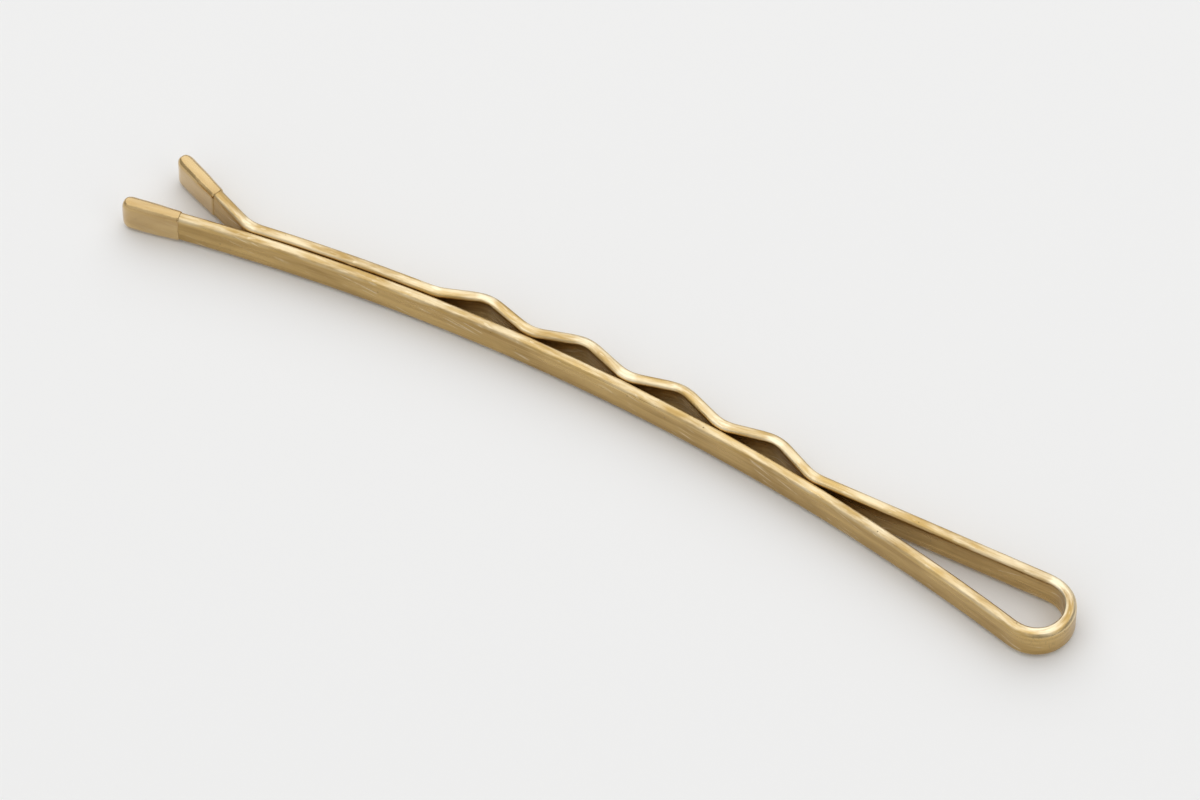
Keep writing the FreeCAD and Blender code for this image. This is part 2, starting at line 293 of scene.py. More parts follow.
class NodeSheet:
    """Adds nodes to a tree and links them."""

    def __init__(self, tree: NodeTree) -> None:
        """Keeps the tree that the nodes go into."""
        self.tree = tree

    def add(self, kind: str, inputs: dict[str | int, Any] | None = None, **settings: Any) -> Node:
        """Adds a node, sets its options and fills its inputs.

        Args:
            kind: Type name of the node.
            inputs: Input name or number to a value, or to the socket that feeds it.
            **settings: Options of the node itself.

        Returns:
            The new node.
        """
        node = self.tree.nodes.new(kind)
        for name, value in settings.items():
            setattr(node, name, value)
        for key, value in (inputs or {}).items():
            self.feed(node.inputs[key], value)
        return node

    def feed(self, socket: Socket, value: Any) -> None:
        """Links a socket to the one that feeds it, or sets its plain value.

        Args:
            socket: The input to fill.
            value: A socket, or a plain value.
        """
        if isinstance(value, Socket):
            self.tree.links.new(value, socket)
        else:
            socket.default_value = value

    def math(self, operation: str, *values: Any) -> Socket:
        """Adds a sum of one to three numbers or sockets and gives its result."""
        return self.add("ShaderNodeMath", dict(enumerate(values)), operation=operation).outputs[0]

    def times(self, *factors: Any) -> Socket:
        """Multiplies numbers or sockets one after the other."""
        return reduce(lambda first, second: self.math("MULTIPLY", first, second), factors)

    def split(self, vector: Socket) -> tuple[Socket, ...]:
        """Gives a vector's three parts."""
        return tuple(self.add("ShaderNodeSeparateXYZ", {0: vector}).outputs)

    def join(self, *parts: Any) -> Socket:
        """Makes a vector of three parts."""
        return self.add("ShaderNodeCombineXYZ", dict(enumerate(parts))).outputs[0]

    def scaled(self, vector: Socket, by: tuple[float, ...]) -> Socket:
        """Stretches a vector by a factor for each of its axes."""
        inputs = {0: vector, 1: by}
        return self.add("ShaderNodeVectorMath", inputs, operation="MULTIPLY").outputs[0]

    def noise(self, vector: Socket, scale: Any, detail: float, **finer: float) -> Socket:
        """Adds a noise texture.

        Args:
            vector: Place that the noise is read at.
            scale: Cells of noise to a unit of the place.
            detail: Count of finer layers.
            **finer: The texture's other inputs by name.

        Returns:
            The noise's value.
        """
        inputs = {"Vector": vector, "Scale": scale, "Detail": detail, **finer}
        return self.add("ShaderNodeTexNoise", inputs).outputs["Fac"]

    def ramp(self, value: Any, *bounds: Any) -> Socket:
        """Eases a value from one range into another, held at both ends.

        Args:
            value: The value to ease.
            *bounds: Where the easing starts and ends, then the results there, or else 0 and 1.

        Returns:
            The eased value.
        """
        inputs = dict(enumerate((value, *bounds)))
        node = self.add("ShaderNodeMapRange", inputs, interpolation_type="SMOOTHSTEP")
        return node.outputs["Result"]

    def mix(self, share: Any, first: Any, second: Any) -> Socket:
        """Mixes two colours.

        Args:
            share: Share of the second colour.
            first: The first colour.
            second: The second colour.

        Returns:
            The mixed colour.
        """
        node = self.add("ShaderNodeMix", data_type="RGBA")
        sockets = {socket.identifier: socket for socket in (*node.inputs, *node.outputs)}
        for name, value in (("Factor_Float", share), ("A_Color", first), ("B_Color", second)):
            self.feed(sockets[name], value)
        return sockets["Result_Color"]


FLOAT, VECTOR, WHOLE = "NodeSocketFloat", "NodeSocketVector", "NodeSocketInt"
GEOMETRY, MATERIAL = "NodeSocketGeometry", "NodeSocketMaterial"


class GroupSheet(NodeSheet):
    """The sheet of a node group with named sockets."""

    def __init__(
        self, kind: str, name: str, inputs: dict[str, str], outputs: dict[str, str]
    ) -> None:
        """Makes an empty group.

        Args:
            kind: Type name of the tree.
            name: Name of the group.
            inputs: Input names with their socket types.
            outputs: Output names with their socket types.
        """
        super().__init__(bpy.data.node_groups.new(name, kind))
        for in_out, sockets in (("INPUT", inputs), ("OUTPUT", outputs)):
            for socket, socket_type in sockets.items():
                self.tree.interface.new_socket(socket, in_out=in_out, socket_type=socket_type)
        self.source = self.add("NodeGroupInput").outputs
        self.result = self.add("NodeGroupOutput").inputs

    def closed(self, *results: Socket) -> NodeTree:
        """Links the results to the group's outputs.

        Args:
            *results: The results in the order of the outputs.

        Returns:
            The finished group.
        """
        for socket, value in zip(self.result, results):
            self.feed(socket, value)
        return self.tree


class MarkSheet(GroupSheet):
    """The sheet of a shader group that makes marks by the place on the wire."""

    def __init__(self, name: str, inputs: tuple[str, ...], outputs: tuple[str, ...]) -> None:
        """Makes an empty group whose first input is the place on the wire.

        Args:
            name: Name of the group.
            inputs: Names of the numbers that it takes after the place.
            outputs: Names of the numbers that it gives.
        """
        taken = {"Wire Space": VECTOR, **dict.fromkeys(inputs, FLOAT)}
        super().__init__("ShaderNodeTree", name, taken, dict.fromkeys(outputs, FLOAT))
        self.space, *self.values = (self.source[socket] for socket in taken)


def rolled_grain_group() -> NodeTree:
    """Makes the fine lines that rolling leaves along the wire.

    Returns:
        A group that gives a height and a tone, both from 0 to 1.
    """
    broad_share, height_range, tone_range = 0.35, (0.3, 0.7), (0.32, 0.68)
    sheet = MarkSheet("rolled_grain", ("Lines per mm", "Stretch"), ("Height", "Tone"))
    along, through, across = sheet.split(sheet.space)
    lines_per_mm, stretch = sheet.values
    drawn = sheet.join(sheet.math("DIVIDE", along, stretch), through, across)
    fine = sheet.noise(drawn, lines_per_mm, 3.0, Roughness=0.6)
    broad = sheet.noise(drawn, sheet.times(lines_per_mm, broad_share), 4.0, Roughness=0.65)
    return sheet.closed(sheet.ramp(fine, *height_range), sheet.ramp(broad, *tone_range))


def lacquer_film_group() -> NodeTree:
    """Makes the uneven lie of a sprayed lacquer film.

    Returns:
        A group that gives the film's thickness and the height of its fine peel.
    """
    pool_stretch, pool_range, peel_range = (0.3, 1.0, 1.0), (0.22, 0.78), (0.25, 0.75)
    sheet = MarkSheet("lacquer_film", ("Pools per mm", "Peel per mm"), ("Thickness", "Peel"))
    pools_per_mm, peel_per_mm = sheet.values
    drawn = sheet.scaled(sheet.space, pool_stretch)
    pools = sheet.noise(drawn, pools_per_mm, 3.0, Roughness=0.55, Distortion=0.4)
    peel = sheet.noise(sheet.space, peel_per_mm, 1.5)
    return sheet.closed(sheet.ramp(pools, *pool_range), sheet.ramp(peel, *peel_range))


def rubbed_edge_group() -> NodeTree:
    """Makes the wear of a film along the wire's edges, most of all over its bends.

    Returns:
        A group that gives the mask of what is rubbed.
    """
    bend_range, wear_range = (0.1, 0.7), (0.55, 1.0)
    patch_stretch, patches_per_mm, patch_range = (0.2, 1.2, 1.2), 2.2, (0.34, 0.7)
    sheet = MarkSheet("rubbed_edge", ("Half Width", "Edge Width", "Bend", "Amount"), ("Mask",))
    half_width, edge_width, bend, amount = sheet.values
    start = sheet.math("SUBTRACT", half_width, edge_width)
    edge = sheet.ramp(sheet.math("ABSOLUTE", sheet.split(sheet.space)[2]), start, half_width)
    bent = sheet.ramp(sheet.math("ABSOLUTE", bend), *bend_range, *wear_range)
    drawn = sheet.scaled(sheet.space, patch_stretch)
    patches = sheet.ramp(sheet.noise(drawn, patches_per_mm, 4.0, Roughness=0.6), *patch_range)
    return sheet.closed(sheet.math("MINIMUM", sheet.times(edge, bent, patches, amount), 1.0))


def hairlines_group() -> NodeTree:
    """Makes the fine slanting scratches that pins rub into each other.

    Returns:
        A group that gives the mask of the scratches.
    """
    stroke_stretch, softness = (0.04, 1.0, 1.0), 0.08
    patches_per_mm, patch_range = 0.9, (0.48, 0.62)
    sheet = MarkSheet("hairlines", ("Slant", "Lines per mm", "Threshold"), ("Mask",))
    slant, lines_per_mm, threshold = sheet.values
    turning = {"Vector": sheet.space, "Angle": slant}
    turned = sheet.add("ShaderNodeVectorRotate", turning, rotation_type="Y_AXIS").outputs[0]
    drawn = sheet.scaled(turned, stroke_stretch)
    strokes = sheet.noise(drawn, lines_per_mm, 0.0)
    line = sheet.ramp(strokes, threshold, sheet.math("ADD", threshold, softness))
    patches = sheet.ramp(sheet.noise(sheet.space, patches_per_mm, 2.0), *patch_range)
    return sheet.closed(sheet.times(line, patches))


def crazing_group() -> NodeTree:
    """Makes the fine cracks across the film on the stretched outer side of a bend.

    Returns:
        A group that gives the mask of the cracks.
    """
    strain_range, crack_stretch = (0.05, 0.19), (1.0, 0.16, 0.16)
    crack_level, crack_width = 0.5, 0.04
    patches_per_mm, patch_range = 1.4, (0.42, 0.66)
    sheet = MarkSheet("crazing", ("Bend", "Cracks per mm"), ("Mask",))
    bend, cracks_per_mm = sheet.values
    through = sheet.split(sheet.space)[1]
    strained = sheet.ramp(sheet.times(bend, through, -1.0), *strain_range)
    net = sheet.noise(sheet.scaled(sheet.space, crack_stretch), cracks_per_mm, 0.6)
    apart = sheet.math("ABSOLUTE", sheet.math("SUBTRACT", net, crack_level))
    crack = sheet.ramp(apart, 0.0, crack_width, 1.0, 0.0)
    patches = sheet.ramp(sheet.noise(sheet.space, patches_per_mm, 2.0), *patch_range)
    return sheet.closed(sheet.times(crack, strained, patches))


def specks_group() -> NodeTree:
    """Makes sparse specks of dust and pin-holes in a film.

    Returns:
        A group that gives the mask of the specks.
    """
    sheet = MarkSheet("specks", ("Cells per mm", "Size", "Share"), ("Mask",))
    cells_per_mm, size, share = sheet.values
    scatter = {"Vector": sheet.space, "Scale": cells_per_mm, "Randomness": 1.0}
    cells = sheet.add("ShaderNodeTexVoronoi", scatter).outputs
    dot = sheet.ramp(cells["Distance"], 0.0, size, 1.0, 0.0)
    pick = sheet.add("ShaderNodeSeparateColor", {0: cells["Color"]}).outputs[0]
    return sheet.closed(sheet.times(dot, sheet.math("LESS_THAN", pick, share)))


@dataclass(frozen=True)
class Effects:
    """The shader groups that the finishes share, each built once."""

    rolled_grain: NodeTree = field(default_factory=rolled_grain_group)
    lacquer_film: NodeTree = field(default_factory=lacquer_film_group)
    rubbed_edge: NodeTree = field(default_factory=rubbed_edge_group)
    hairlines: NodeTree = field(default_factory=hairlines_group)
    crazing: NodeTree = field(default_factory=crazing_group)
    specks: NodeTree = field(default_factory=specks_group)


@dataclass(frozen=True)
class Marks:
    """What the shared groups put out, placed in one material."""

    grain: Socket
    tone: Socket
    film: Socket
    peel: Socket
    worn: Socket
    scratch: Socket
    crack: Socket
    speck: Socket


@dataclass(frozen=True)
class LacquerFinish:
    """A gold lacquer on metal: its colours, its gloss, and how far its marks go."""

    name: str
    deep: RGBA
    pale: RGBA
    rubbed: RGBA
    dark: RGBA
    metallic: float
    roughness_low: float
    roughness_high: float
    rubbed_roughness: float
    coat: float
    coat_roughness: float
    grain_share: float
    peel_share: float
    relief: float
    wear: float
    scratching: float
    cracking: float
    half_width: float
    edge_width: float
    lines_per_mm: float = 7.0
    line_stretch: float = 24.0
    pools_per_mm: float = 0.75
    peel_per_mm: float = 5.5
    scratches_per_mm: float = 9.0
    scratch_slant: float = math.radians(14)
    scratch_threshold: float = 0.66
    cracks_per_mm: float = 7.0
    specks_per_mm: float = 1.5
    speck_size: float = 0.09
    speck_share: float = 0.35

    def marks(self, sheet: NodeSheet, effects: Effects) -> Marks:
        """Places the shared groups in a material, with values in the order of their inputs.

        Args:
            sheet: The material's nodes.
            effects: The shader groups to place.

        Returns:
            The sockets that the groups put out.
        """
        space = sheet.add("ShaderNodeAttribute", attribute_name="wire_space").outputs["Vector"]
        bend = sheet.add("ShaderNodeAttribute", attribute_name="bend_mm").outputs["Fac"]
        half_width, edge_width = self.half_width * PER_MM, self.edge_width * PER_MM
        placed = (
            (effects.rolled_grain, self.lines_per_mm, self.line_stretch),
            (effects.lacquer_film, self.pools_per_mm, self.peel_per_mm),
            (effects.rubbed_edge, half_width, edge_width, bend, self.wear),
            (effects.hairlines, self.scratch_slant, self.scratches_per_mm, self.scratch_threshold),
            (effects.crazing, bend, self.cracks_per_mm),
            (effects.specks, self.specks_per_mm, self.speck_size, self.speck_share),
        )
        sockets = []
        for group, *values in placed:
            inputs = dict(enumerate((space, *values)))
            sockets.extend(sheet.add("ShaderNodeGroup", inputs, node_tree=group).outputs)
        return Marks(*sockets)

    def colour(self, sheet: NodeSheet, marks: Marks) -> Socket:
        """Mixes the lacquer's colour from its film, its lines and its marks.

        Args:
            sheet: The material's nodes.
            marks: The marks on the surface.

        Returns:
            The colour.
        """
        lines = sheet.times(marks.tone, self.grain_share)
        tone = sheet.math("MULTIPLY_ADD", marks.film, 1 - self.grain_share, lines)
        colour = sheet.mix(tone, self.deep, self.pale)
        colour = sheet.mix(sheet.times(marks.scratch, self.scratching), colour, self.rubbed)
        colour = sheet.mix(sheet.times(marks.crack, self.cracking), colour, self.dark)
        colour = sheet.mix(marks.worn, colour, self.rubbed)
        return sheet.mix(marks.speck, colour, self.dark)

    def roughness(self, sheet: NodeSheet, marks: Marks) -> Socket:
        """Makes the film glossier where it lies thick, and satin along the rolled lines.

        Args:
            sheet: The material's nodes.
            marks: The marks on the surface.

        Returns:
            The roughness.
        """
        lines = sheet.times(sheet.math("SUBTRACT", 1.0, marks.grain), self.grain_share)
        bare = sheet.math("SUBTRACT", 1.0, marks.film)
        thin = sheet.math("MULTIPLY_ADD", bare, 1 - self.grain_share, lines)
        satin = sheet.ramp(thin, 0.0, 1.0, self.roughness_low, self.roughness_high)
        return sheet.ramp(marks.worn, 0.0, 1.0, satin, self.rubbed_roughness)

    def normal(self, sheet: NodeSheet, marks: Marks) -> Socket:
        """Raises the lines and the peel, and sinks the scratches, cracks and specks.

        Args:
            sheet: The material's nodes.
            marks: The marks on the surface.

        Returns:
            The normal.
        """
        height = sheet.times(marks.grain, self.grain_share)
        height = sheet.math("MULTIPLY_ADD", marks.peel, self.peel_share, height)
        sunk = sheet.math("MAXIMUM", marks.speck, sheet.times(marks.crack, self.cracking))
        sunk = sheet.math("MAXIMUM", sunk, sheet.times(marks.scratch, self.scratching))
        height = sheet.math("SUBTRACT", height, sunk)
        inputs = {"Height": height, "Strength": 1.0, "Distance": self.relief}
        return sheet.add("ShaderNodeBump", inputs).outputs["Normal"]

    def material(self, effects: Effects) -> Material:
        """Builds the finish as a material.

        Args:
            effects: The shader groups to draw from.

        Returns:
            The finished material.
        """
        material = bpy.data.materials.new(self.name)
        material.use_nodes = True
        material.node_tree.nodes.clear()
        sheet = NodeSheet(material.node_tree)
        marks = self.marks(sheet, effects)
        shader = sheet.add(
            "ShaderNodeBsdfPrincipled",
            {
                "Base Color": self.colour(sheet, marks),
                "Metallic": self.metallic,
                "Roughness": self.roughness(sheet, marks),
                "Coat Weight": sheet.ramp(marks.worn, 0.0, 1.0, self.coat, 0.0),
                "Coat Roughness": self.coat_roughness,
                "Normal": self.normal(sheet, marks),
            },
        )
        sheet.add("ShaderNodeOutputMaterial", {"Surface": shader.outputs[0]})
        return material


WIRE_FINISH = LacquerFinish(
    name="gold_wire_lacquer",
    deep=(0.37, 0.225, 0.064, 1),
    pale=(0.68, 0.475, 0.185, 1),
    rubbed=(0.92, 0.805, 0.57, 1),
    dark=(0.13, 0.085, 0.035, 1),
    metallic=1.0,
    roughness_low=0.25,
    roughness_high=0.42,
    rubbed_roughness=0.3,
    coat=0.25,
    coat_roughness=0.2,
    grain_share=0.5,
    peel_share=0.35,
    relief=0.009 * MM,
    wear=1.3,
    scratching=0.4,
    cracking=0.3,
    half_width=0.825 * MM,
    edge_width=0.24 * MM,
)

TIP_FINISH = LacquerFinish(
    name="gold_tip_lacquer",
    deep=(0.45, 0.285, 0.098, 1),
    pale=(0.71, 0.505, 0.22, 1),
    rubbed=(0.9, 0.78, 0.54, 1),
    dark=(0.14, 0.09, 0.04, 1),
    metallic=0.8,
    roughness_low=0.17,
    roughness_high=0.28,
    rubbed_roughness=0.3,
    coat=0.6,
    coat_roughness=0.1,
    grain_share=0.12,
    peel_share=0.7,
    relief=0.003 * MM,
    wear=0.35,
    scratching=0.15,
    cracking=0.0,
    half_width=0.935 * MM,
    edge_width=0.2 * MM,
)


class SweptWireSheet(GroupSheet):
    """The sheet of the tree that sweeps the flat wire's section along its centre line.

    Where the wire bends, its inner side spreads and its outer side draws in. The tree also
    writes wire_space, the place along, through and across the wire in millimetres.
    """

    crisp_angle: float = math.radians(60)

    def __init__(self) -> None:
        """Makes the empty tree with its named inputs."""
        inputs = {
            "Centre Line": GEOMETRY,
            "Width": FLOAT,
            "Thickness": FLOAT,
            "Edge Radius": FLOAT,
            "Edge Points": WHOLE,
            "Section Points": WHOLE,
            "Bend Spread": FLOAT,
            "Bend Ease": WHOLE,
            "Finish": MATERIAL,
        }
        super().__init__("GeometryNodeTree", "swept_wire", inputs, {"Wire": GEOMETRY})

    def named(self, name: str, data_type: str) -> Socket:
        """Reads a named attribute."""
        reader = "GeometryNodeInputNamedAttribute"
        return self.add(reader, {"Name": name}, data_type=data_type).outputs["Attribute"]

    def store(self, shape: Socket, name: str, value: Socket, data_type: str) -> Socket:
        """Writes a named attribute and gives the shape on."""
        inputs = {"Geometry": shape, "Name": name, "Value": value}
        return self.add("GeometryNodeStoreNamedAttribute", inputs, data_type=data_type).outputs[0]

    def centre_line(self) -> Socket:
        """Turns the points into a curve that keeps the wire upright, and eases its bends.

        Returns:
            The centre line.
        """
        line = self.add("GeometryNodeMeshToCurve", {0: self.source["Centre Line"]}).outputs[0]
        line = self.add("GeometryNodeSetCurveNormal", {0: line}, mode="Z_UP").outputs[0]
        easing = {"Value": self.named("bend", "FLOAT"), "Iterations": self.source["Bend Ease"]}
        eased = self.add("GeometryNodeBlurAttribute", easing, data_type="FLOAT").outputs[0]
        return self.store(line, "bend", eased, "FLOAT")

    def section(self) -> Socket:
        """Draws the rolled wire's section, and notes each point's place in it.

        Returns:
            The section's outline.
        """
        sides = {"Width": self.source["Thickness"], "Height": self.source["Width"]}
        outline = self.add("GeometryNodeCurvePrimitiveQuadrilateral", sides).outputs[0]
        rounding = {
            "Curve": outline,
            "Count": self.source["Edge Points"],
            "Radius": self.source["Edge Radius"],
        }
        outline = self.add("GeometryNodeFilletCurve", rounding, mode="POLY").outputs[0]
        spacing = {"Curve": outline, "Count": self.source["Section Points"]}
        outline = self.add("GeometryNodeResampleCurve", spacing, mode="COUNT").outputs[0]
        place = self.add("GeometryNodeInputPosition").outputs[0]
        return self.store(outline, "section", place, "FLOAT_VECTOR")

    def spread(self, wire: Socket) -> Socket:
        """Notes each point's place on the wire, and widens the inner side of the bends.

        Args:
            wire: The swept wire.

        Returns:
            The wire with its attributes, and narrower on the outer side of its bends.
        """
        through, across, _ = self.split(self.named("section", "FLOAT_VECTOR"))
        leftward = self.times(through, -1.0)
        bend = self.named("bend", "FLOAT")
        space = self.join(self.named("run", "FLOAT"), leftward, across)
        wire = self.store(wire, "wire_space", self.scaled(space, (PER_MM,) * 3), "FLOAT_VECTOR")
        wire = self.store(wire, "bend_mm", self.math("DIVIDE", bend, PER_MM), "FLOAT")
        height = self.split(self.add("GeometryNodeInputPosition").outputs[0])[2]
        rise = self.times(bend, leftward, self.source["Bend Spread"], height)
        moving = {"Geometry": wire, "Offset": self.join(0.0, 0.0, rise)}
        return self.add("GeometryNodeSetPosition", moving).outputs[0]

    def shaded(self, wire: Socket) -> Socket:
        """Shades the wire smooth, and crisp round its cut ends.

        Args:
            wire: The swept wire.

        Returns:
            The shaded wire.
        """
        shading = "GeometryNodeSetShadeSmooth"
        wire = self.add(shading, {0: wire, "Shade Smooth": True}).outputs[0]
        angle = self.add("GeometryNodeInputMeshEdgeAngle").outputs["Unsigned Angle"]
        test = {"data_type": "FLOAT", "operation": "GREATER_THAN"}
        sharp = self.add("FunctionNodeCompare", {0: angle, 1: self.crisp_angle}, **test).outputs[0]
        inputs = {0: wire, "Selection": sharp, "Shade Smooth": False}
        return self.add(shading, inputs, domain="EDGE").outputs[0]

    def build(self) -> NodeTree:
        """Links the tree from the centre line to the finished wire.

        Returns:
            The geometry node tree.
        """
        sweeping = {"Curve": self.centre_line(), "Profile Curve": self.section(), "Fill Caps": True}
        wire = self.add("GeometryNodeCurveToMesh", sweeping).outputs[0]
        wire = self.shaded(self.spread(wire))
        wire = self.add("GeometryNodeRealizeInstances", {0: wire}).outputs[0]
        dressing = {"Geometry": wire, "Material": self.source["Finish"]}
        return self.closed(self.add("GeometryNodeSetMaterial", dressing).outputs[0])


@dataclass
class SweptWire:
    """A stretch of the flat wire, swept along its centre line."""

    shape: PinShape
    tree: NodeTree
    finish: Material
    edge_points: int = 12
    section_points: int = 64
    bend_spread: float = 0.3
    bend_ease: int = 6

    def sweep(self, name: str, line: WireLine) -> Object:
        """Sweeps the newest part of the wire and turns it into a plain mesh.

        Args:
            name: Name of the piece.
            line: The wire's line, drawn to the end of the piece.

        Returns:
            The wire's object.
        """
        points, bends, runs = zip(*line.cut())
        path = bpy.data.meshes.new(name)
        path.from_pydata(points, [(i, i + 1) for i in range(len(points) - 1)], [])
        for attribute, numbers in (("bend", bends), ("run", runs)):
            path.attributes.new(attribute, "FLOAT", "POINT").data.foreach_set("value", numbers)
        wire = scene_object(name, path)
        modifier = wire.modifiers.new("swept_wire", "NODES")
        modifier.node_group = self.tree
        values = {
            "Width": self.shape.wire_width,
            "Thickness": self.shape.wire_thickness,
            "Edge Radius": self.shape.edge_radius,
            "Edge Points": self.edge_points,
            "Section Points": self.section_points,
            "Bend Spread": self.bend_spread,
            "Bend Ease": self.bend_ease,
            "Finish": self.finish,
        }
        for item in self.tree.interface.items_tree:
            if item.in_out == "INPUT" and item.name in values:
                modifier[item.identifier] = values[item.name]
        graph = bpy.context.evaluated_depsgraph_get()
        swept = bpy.data.meshes.new_from_object(
            wire.evaluated_get(graph), preserve_all_data_layers=True, depsgraph=graph
        )
        wire.modifiers.clear()
        wire.data = swept
        bpy.data.meshes.remove(path)
        swept.name = name
        return wire

    def flex(self, wire: Object, leg: Leg, node: str) -> None:
        """Bakes the leg's place into its mesh, and hides the solid that it stands for and the head
        loop.

        Args:
            wire: The leg's object.
            leg: Not used.
            node: The solid that the leg stands for.
        """
        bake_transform(wire)
        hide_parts(node, "head_loop")


@dataclass
class StraightLeg(SweptWire):
    """The straight leg: straight inside its tip drop, and bowed from there to the head."""

    def start(self) -> tuple[WireLine, CutEnd]:
        """Starts the wire at the leg's cut end, facing the head.

        Returns:
            The wire's line, with only its first point, and the cut end itself.
        """
        shape = self.shape
        bearing = shape.eye_bearing + shape.straight_bow_turn
        outward = bearing + QUARTER_TURN
        place = shape.on_bow(shape.bow_radius, bearing) + heading(outward) * shape.tip_cover
        return WireLine(place, outward + math.pi), CutEnd(place, outward, 0)

    def build(self, line: WireLine) -> Object:
        """Draws the leg on to the head's seam, sweeps it and hides the solid it stands for.

        Args:
            line: The wire's line, which starts at the cut end.

        Returns:
            The leg's object.
        """
        shape = self.shape
        line.go(shape.tip_cover)
        line.bend(shape.bow_radius, shape.seam_turn - shape.straight_bow_turn)
        wire = self.sweep("straight_leg_wire", line)
        self.flex(wire, Leg.STRAIGHT, "straight_leg")
        return wire


@dataclass
class Head(SweptWire):
    """The head: the round loop and the first stretch of both shoulders."""

    def build(self, line: WireLine) -> Object:
        """Draws the head on from the straight leg's seam, sweeps it and lets it ride on its body.

        Args:
            line: The wire's line, which has reached the seam.

        Returns:
            The head's object.
        """
        shape = self.shape
        line.bend(shape.bow_radius, -shape.seam_turn)
        line.bend(shape.loop_radius, shape.loop_turn)
        line.go(shape.seam_at)
        wire = self.sweep("head_wire", line)
        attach(wire, "head")
        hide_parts("head_loop")
        return wire


@dataclass
class CrimpedLeg(SweptWire):
    """The crimped leg: the lead, the waves, the plain stretch and the flared toe."""

    def bends(self) -> list[tuple[Turn, Vector]]:
        """Lists the bends of the waves in order.

        Returns:
            The side that each bend turns to, and its centre.
        """
        shape = self.shape
        half_step = shape.crimp_pitch / shape.contact_radius / 2
        crest_reach = shape.contact_radius + shape.crimp_height - shape.crimp_radius
        found = []
        for number in range(2 * shape.crimp_count + 1):
            turn = Turn.LEFT if number % 2 else Turn.RIGHT
            reach = crest_reach if turn is Turn.LEFT else shape.valley_reach
            found.append((turn, shape.on_bow(reach, shape.first_bearing + number * half_step)))
        return found

    def directions(self, bends: list[tuple[Turn, Vector]]) -> list[float]:
        """Lists the direction of the wire into each bend, and out of the last one.

        Args:
            bends: The bends of the waves.

        Returns:
            The directions, one more than the bends.
        """
        found = [0.0]
        for (turn, centre), (_, after) in zip(bends, bends[1:]):
            across = after - centre
            lean = math.asin(2 * self.shape.crimp_radius / across.length)
            found.append(math.atan2(across.y, across.x) + turn.value * lean)
        return [*found, self.shape.last_bearing + QUARTER_TURN]

    def draw(self, line: WireLine) -> None:
        """Draws the leg on from the head's seam to the cut end of the toe.

        Args:
            line: The wire's line, which has reached the seam.
        """
        shape = self.shape
        line.angle = 0
        bends = self.bends()
        directions = self.directions(bends)
        for (turn, centre), way_in, way_out in zip(bends, directions, directions[1:]):
            inward = heading(way_in + turn.value * QUARTER_TURN)
            line.go_to(centre - inward * shape.crimp_radius)
            line.angle = way_in
            line.bend(shape.crimp_radius, way_out - way_in)
        line.bend(shape.contact_radius, shape.contact_length / shape.contact_radius)
        line.bend(shape.toe_bend_radius, -shape.toe_angle)
        line.go(shape.toe_length + shape.tip_cover)

    def build(self, line: WireLine) -> Object:
        """Draws the leg, sweeps it and hides the solid it stands for.

        Args:
            line: The wire's line, which has reached the head's seam.

        Returns:
            The leg's object.
        """
        self.draw(line)
        wire = self.sweep("crimped_leg_wire", line)
        self.flex(wire, Leg.CRIMPED, "crimped_leg")
        return wire


@dataclass(frozen=True)
class Station:
    """A ring of a tip drop: its place along the drop, its film, and its share of the section."""

    place: float
    film: float
    share: float = 1.0


